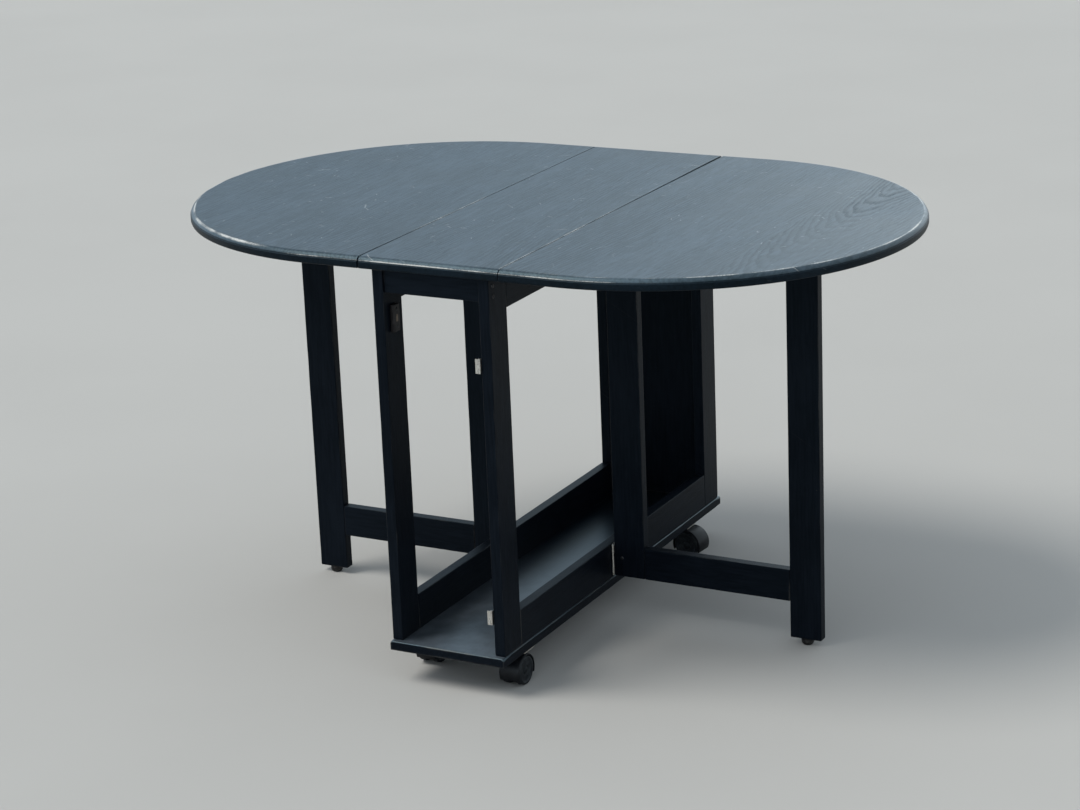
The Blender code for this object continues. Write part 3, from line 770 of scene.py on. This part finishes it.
panel_low, panel_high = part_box("centre_panel")
leaf_low, leaf_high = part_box("right_leaf")
TOP_UNDER = panel_low.z
SEAM_INNER = panel_high.x
SEAM_OUTER = leaf_low.x
END_RADIUS = leaf_high.y
END_CENTRE = leaf_high.x - END_RADIUS
RIGHT_OPENING = 0.0036  # the right seam stands open at its far end
LEFT_OPENING = 0.0013  # the left seam stands open at its near end
LEFT_OPENS_AT = -0.2
RIGHT_CLOSED_TO = 0.03  # the seams are rubbed where they stand closed
LEFT_CLOSED_FROM, LEFT_CLOSED_TO = -0.28, 0.09
CLOSED_FADE = 0.06
CORNER = 0.0008  # softened corner where rim and seam meet
RIM_STEPS, ARC_STEPS, SEAM_STEPS, PANEL_STEPS = 6, 96, 24, 12
QUIRK = 0.0129
# From the underside up: inset of the rim and of the seam, height,
# then wear of the rim's lower arris, of its upper arris, of the seam and of the rim's face; on the lower
# arris along the near edge and on the face at the near left this is also a painted highlight.
TOP_PROFILE = [
    (0.0070, 0.0030, 0.0000, 0.0, 0.0, 0.0, 0.0),
    (0.0030, 0.0008, 0.0000, 0.2, 0.0, 0.2, 0.0),
    (0.0009, 0.0002, 0.0009, 0.3, 0.0, 0.1, 0.0),
    (0.0000, 0.0000, 0.0030, 0.0, 0.0, 0.0, 0.0),
    (0.0000, 0.0000, 0.0108, 0.0, 0.0, 0.0, 0.0),
    (0.0002, 0.0000, 0.0116, 0.2, 0.0, 0.0, 0.0),
    (0.0012, 0.0000, 0.0122, 0.0, 0.0, 0.0, 0.0),
    (0.0018, 0.0000, 0.0129, 0.0, 0.0, 0.0, 0.0),
    (0.0013, 0.0000, 0.0135, 1.0, 0.0, 0.0, 0.0),
    (0.0014, 0.0000, 0.0141, 1.0, 0.0, 0.0, 0.0),
    (0.0019, 0.0000, 0.0150, 0.5, 0.0, 0.0, 0.0),
    (0.0029, 0.0000, 0.0164, 0.0, 0.0, 0.0, 0.3),
    (0.0050, 0.0000, 0.0184, 0.0, 0.1, 0.0, 0.7),
    (0.0068, 0.0002, 0.0194, 0.0, 0.5, 0.4, 0.7),
    (0.0076, 0.0006, 0.0198, 0.0, 0.8, 0.6, 0.5),
    (0.0090, 0.0012, 0.0200, 0.0, 0.4, 0.4, 0.0),
    (0.0125, 0.0034, 0.0200, 0.0, 0.0, 0.0, 0.0),
]


def straight(start, stop, steps):
    return [start + (stop - start) * step / steps for step in range(steps)]


def opening(sign, y):
    """How much wider than drawn a seam stands at a place along it."""
    if sign > 0:
        return RIGHT_OPENING * max(0, y / END_RADIUS)
    return LEFT_OPENING * max(0, (y - LEFT_OPENS_AT) / (-END_RADIUS - LEFT_OPENS_AT))


def leaf_outline(rim, seam, sign):
    """Outline of a leaf as (x, y, on the rim), set in from its rim and from its seam."""
    reach = END_RADIUS - rim
    near_x = SEAM_OUTER + seam + opening(sign, -reach)
    far_x = SEAM_OUTER + seam + opening(sign, reach)
    outline = [(near_x, -reach, True)]
    outline += [(x, -reach, True) for x in straight(near_x + CORNER, END_CENTRE, RIM_STEPS)]
    for step in range(ARC_STEPS):
        angle = math.pi * (step / ARC_STEPS - 0.5)
        outline.append((END_CENTRE + reach * math.cos(angle), reach * math.sin(angle), True))
    outline += [(x, reach, True) for x in straight(END_CENTRE, far_x + CORNER, RIM_STEPS)]
    outline += [(far_x + CORNER, reach, True), (far_x, reach, True)]
    for y in straight(reach - CORNER, CORNER - reach, SEAM_STEPS) + [CORNER - reach]:
        outline.append((SEAM_OUTER + seam + opening(sign, y), y, False))
    return [(sign * x, y, on_rim) for x, y, on_rim in outline]


def panel_outline(rim, seam):
    """Outline of the fixed panel as (x, y, on the rim)."""
    reach = END_RADIUS - rim
    side = SEAM_INNER - seam
    half = [(-side, -reach, True)]
    half += [(x, -reach, True) for x in straight(CORNER - side, side - CORNER, PANEL_STEPS)]
    half += [(side - CORNER, -reach, True), (side, -reach, True)]
    half += [(side, y, False) for y in straight(CORNER - reach, reach - CORNER, SEAM_STEPS)]
    half += [(side, reach - CORNER, False)]
    return half + [(-x, -y, on_rim) for x, y, on_rim in half]


def limited(value, least=0):
    return min(1, max(least, value))


def top_wear(x, y, on_rim, lower, upper, seam, face):
    """Wear of closed seams, of the rim's two arrises and of its face at the near left, with a painted
    highlight on the lower arris along the near edge and on that face.
    """
    if not on_rim:
        closed = RIGHT_CLOSED_TO - y if x > 0 else min(y - LEFT_CLOSED_FROM, LEFT_CLOSED_TO - y)
        return seam * limited(closed / CLOSED_FADE)
    # The lower arris along the near edge, strongest at the left, and the rim's face at the near left are
    # pale with wear and a painted highlight.
    near = 1 if y < 0 else 0.5
    left = limited(1.15 - 2.2 * x, 0.1)
    ends = 0.35 + 0.75 * (x / (END_CENTRE + END_RADIUS)) ** 2
    turned = limited(-6 * (x + 0.2)) * limited(-12 * (y + 0.2))
    return max(lower * near * left * (1 - turned), upper * ends, face * turned)


def top_skin(sign, joints):
    """The right leaf (1), the left leaf (-1) or the panel (0), cut where its staves join."""
    rings = []
    for rim, seam, height, *wear in TOP_PROFILE:
        ring = []
        for x, y, on_rim in leaf_outline(rim, seam, sign) if sign else panel_outline(rim, seam):
            ring.append((Vector((x, y, TOP_UNDER + height)), top_wear(x, y, on_rim, *wear)))
        rings.append(ring)
    bm = skin(rings)
    for place in joints:
        everything = bm.verts[:] + bm.edges[:] + bm.faces[:]
        bmesh.ops.bisect_plane(bm, geom=everything, plane_co=(place, 0, 0), plane_no=(1, 0, 0))
    return bm


# Its near-white worn colour serves the rubbed arrises and seams, and the painted highlight along the near
# left of the rim.
black_lacquer = wood_finish(
    name="black_top_lacquer",
    slot="top_wood",
    dark=(0.0040, 0.0065, 0.0100),
    light=(0.0400, 0.0540, 0.0710),
    worn=(0.80, 0.80, 0.78),
    rough=0.32,
    shine=0.5,
    wear=1.0,
    density=0.75,
    scuffed=0.45,
    spacing=0.0065,
    slope=0.15,
    figured=0.32,
)
# Duller copy of the lacquer for the rim below the quirk and the underside, its darker colour a painted
# shade.
shaded_rim_finish = wood_finish(
    name="shaded_rim_lacquer",
    slot="top_wood",
    dark=(0.0006, 0.0019, 0.0042),
    light=(0.0044, 0.0088, 0.0152),
    worn=(0.20, 0.20, 0.195),
    rough=0.4,
    shine=0.15,
    wear=0.8,
    density=0.3,
    scuffed=0.3,
    spacing=0.0065,
    slope=0.15,
    figured=0.2,
)
panel_staves = [(-0.012, -0.25, 0.06), (BEYOND, 0.21, 0.05)]
right_staves = [(0.262, 0.03, 0.06), (0.365, 0.52, 0.05), (0.455, 0.24, 0.07), (BEYOND, 0.527, 0.055)]
left_staves = [(-0.518, -0.36, 0.05), (-0.391, -0.62, 0.06), (-0.255, -0.12, 0.05), (BEYOND, -0.31, 0.03)]
for node, sign, staves, seed, body in (
    ("centre_panel", 0, panel_staves, 1, "carcass"),
    ("right_leaf", 1, right_staves, 4, "right_leaf_body"),
    ("left_leaf", -1, left_staves, 9, "left_leaf_body"),
):
    boards = top_skin(sign, [limit for limit, _, _ in staves[:-1]])
    board = wooden(f"{node}_boards", boards, ALONG_Y, seed, black_lacquer, body, node, staves)
    board.data.materials.append(shaded_rim_finish)
    # Faces below the quirk take the darker lacquer with its painted shade.
    for face in board.data.polygons:
        face.material_index = int(face.center.z < TOP_UNDER + QUIRK)


# Leaf hinges: plated butt hinges screwed to the underside across each seam, two on each leaf.
# Two screws hold each half.

LEAF_PIN_X = 0.129
LEAF_SCREW_OUT = 0.0105  # from the pin
LEAF_SCREW_SPREAD = 0.017
LEAF_SCREW_RADIUS = 0.0030
LEAF_PLATE_THICK = 0.0016
for side, sign in (("right", 1), ("left", -1)):
    for end in ("near", "far"):
        for half, body in (("plate", "carcass"), ("flap", f"{side}_leaf_body")):
            node = f"{side}_leaf_{end}_hinge_{half}"
            plated(node)
            low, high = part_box(node)
            outer = -sign if half == "plate" else sign
            screw_x = LEAF_PIN_X * sign + outer * LEAF_SCREW_OUT
            middle_y = (low.y + high.y) / 2
            under = high.z - LEAF_PLATE_THICK
            heads = []
            for shift in (-LEAF_SCREW_SPREAD, LEAF_SCREW_SPREAD):
                heads.append(((screw_x, middle_y + shift, under), (0, 0, -1)))
            screws(f"{node}_screws", heads, bright_nickel, body, LEAF_SCREW_RADIUS)


# Door fittings: two small butt hinges on the near right post and a magnet catch on the near left post.
# The catch is a dark brown moulded case with a bare steel bar magnet, held by two screws.

CASE_ARRIS, CASE_SEED = 0.0016, 41
CASE_SCREW_INSET = 0.008
CASE_SCREW_RADIUS = 0.0028
MAGNET_ARRIS, MAGNET_SEED = 0.0004, 42
for level in ("lower", "upper"):
    for half in ("plate", "flap"):
        plated(f"door_{level}_hinge_{half}")

case_brown = moulded_finish(
    name="brown_case_plastic",
    slot="catch_plastic",
    colour=(0.012, 0.011, 0.012),
    dust=(0.075, 0.072, 0.07),
    rough=0.42,
    dusty=0.3,
)
magnet_bright = metal_finish(
    name="bare_magnet_steel",
    slot="magnet_steel",
    colour=(0.20, 0.16, 0.13),
    stain=(0.10, 0.08, 0.065),
    rough=0.42,
)
low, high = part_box("door_catch_body")
case = skin(board_rings(low, high, ALONG_Z, CASE_ARRIS, CASE_SEED))
fitted("door_catch_case", case, case_brown, "carcass", "door_catch_body")
middle_y = (low.y + high.y) / 2
heads = [((high.x, middle_y, z), (1, 0, 0)) for z in (low.z + CASE_SCREW_INSET, high.z - CASE_SCREW_INSET)]
screws("door_catch_screws", heads, blackened_steel, "carcass", CASE_SCREW_RADIUS)
low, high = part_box("door_catch_magnet")
magnet = skin(board_rings(low, high, ALONG_Z, MAGNET_ARRIS, MAGNET_SEED))
fitted("door_catch_magnet_bar", magnet, magnet_bright, "carcass", "door_catch_magnet")


# Floor, light and camera: a pale matt floor, broad daylight from high on the left and a cool dome.
# The dome is even for the light it sheds, and brighter towards some sides where it is mirrored.
# The camera stands where it was fitted to the edges of the table.

FLOOR_REACH = 30
DOME_STRENGTH = 0.62
SUN_DIRECTION = (0.44, 0.35, -0.83)
CAMERA_PLACE = (2.23206, -4.20497, 1.87392)
CAMERA_LENS, CAMERA_SENSOR = 94.286, 36

floor_mesh = bpy.data.meshes.new("pale_floor")
floor_corners = [(FLOOR_REACH * x, FLOOR_REACH * y, 0) for x, y in ((-1, -1), (1, -1), (1, 1), (-1, 1))]
floor_mesh.from_pydata(floor_corners, [], [(0, 1, 2, 3)])
floor = bpy.data.objects.new("pale_floor", floor_mesh)
bpy.context.scene.collection.objects.link(floor)
floor_finish = bpy.data.materials.new("pale_floor")
floor_finish.use_nodes = True
ground = floor_finish.node_tree
floor_shader = ground.nodes["Principled BSDF"].inputs
feed(ground, floor_shader["Roughness"], 0.9)
feed(ground, floor_shader["Specular IOR Level"], 0.1)
floor_cloud = ramp(ground, cloud(ground, surface_place(ground), 1.3, 5), 0.3, 0.7)
floor_colour = tint(ground, floor_cloud, (0.515, 0.515, 0.505), (0.53, 0.53, 0.52))
feed(ground, floor_shader["Base Color"], floor_colour)
floor_mesh.materials.append(floor_finish)

world = bpy.data.worlds.new("soft_dome")
world.use_nodes = True
bpy.context.scene.world = world
dome = world.node_tree
background = dome.nodes["Background"].inputs
rightward = parts(dome, dome.nodes.new("ShaderNodeTexCoord").outputs["Generated"])[0]
ray = dome.nodes.new("ShaderNodeLightPath").outputs
mirrored = calc(dome, "MAXIMUM", ray["Is Glossy Ray"], ray["Is Transmission Ray"])
bright = ramp(dome, rightward, -0.43, -0.23, 0.88, 2.7)
bright = product(dome, bright, ramp(dome, rightward, -0.12, 0.2, 1, 0.45))
bright = calc(dome, "ADD", bright, ramp(dome, rightward, -0.92, -0.7, 0.9, 0))
sky = tint(dome, ramp(dome, rightward, -0.43, -0.33), (0.65, 0.84, 1.0), (0.80, 0.92, 1.0))
feed(dome, background["Color"], tint(dome, mirrored, (0.86, 0.94, 1.0), sky))
extra = product(dome, mirrored, calc(dome, "SUBTRACT", bright, DOME_STRENGTH))
feed(dome, background["Strength"], calc(dome, "ADD", extra, DOME_STRENGTH))

daylight = bpy.data.lights.new("soft_daylight", "SUN")
daylight.energy = 1.7
daylight.angle = math.radians(28)
daylight.color = (1.0, 0.955, 0.885)
lamp = bpy.data.objects.new("soft_daylight", daylight)
lamp.rotation_euler = Vector(SUN_DIRECTION).to_track_quat("-Z", "Y").to_euler()
bpy.context.scene.collection.objects.link(lamp)

azimuth = math.radians(28.368)
elevation = math.radians(17.477)
roll = math.radians(-2.3745)
flat = math.cos(elevation)
ahead = Vector((-math.sin(azimuth) * flat, math.cos(azimuth) * flat, -math.sin(elevation)))
level = Vector((math.cos(azimuth), math.sin(azimuth), 0))
upward = level.cross(ahead)
camera_x = math.cos(roll) * level + math.sin(roll) * upward
camera_y = -math.sin(roll) * level + math.cos(roll) * upward
lens = bpy.data.cameras.new("photo_camera")
lens.sensor_fit = "HORIZONTAL"
lens.sensor_width = CAMERA_SENSOR
lens.lens = CAMERA_LENS
camera = bpy.data.objects.new("photo_camera", lens)
turn = Matrix((camera_x, camera_y, -ahead)).transposed().to_4x4()
camera.matrix_world = Matrix.Translation(CAMERA_PLACE) @ turn
bpy.context.scene.collection.objects.link(camera)
bpy.context.scene.camera = camera
bpy.context.scene.view_settings.view_transform = "Standard"
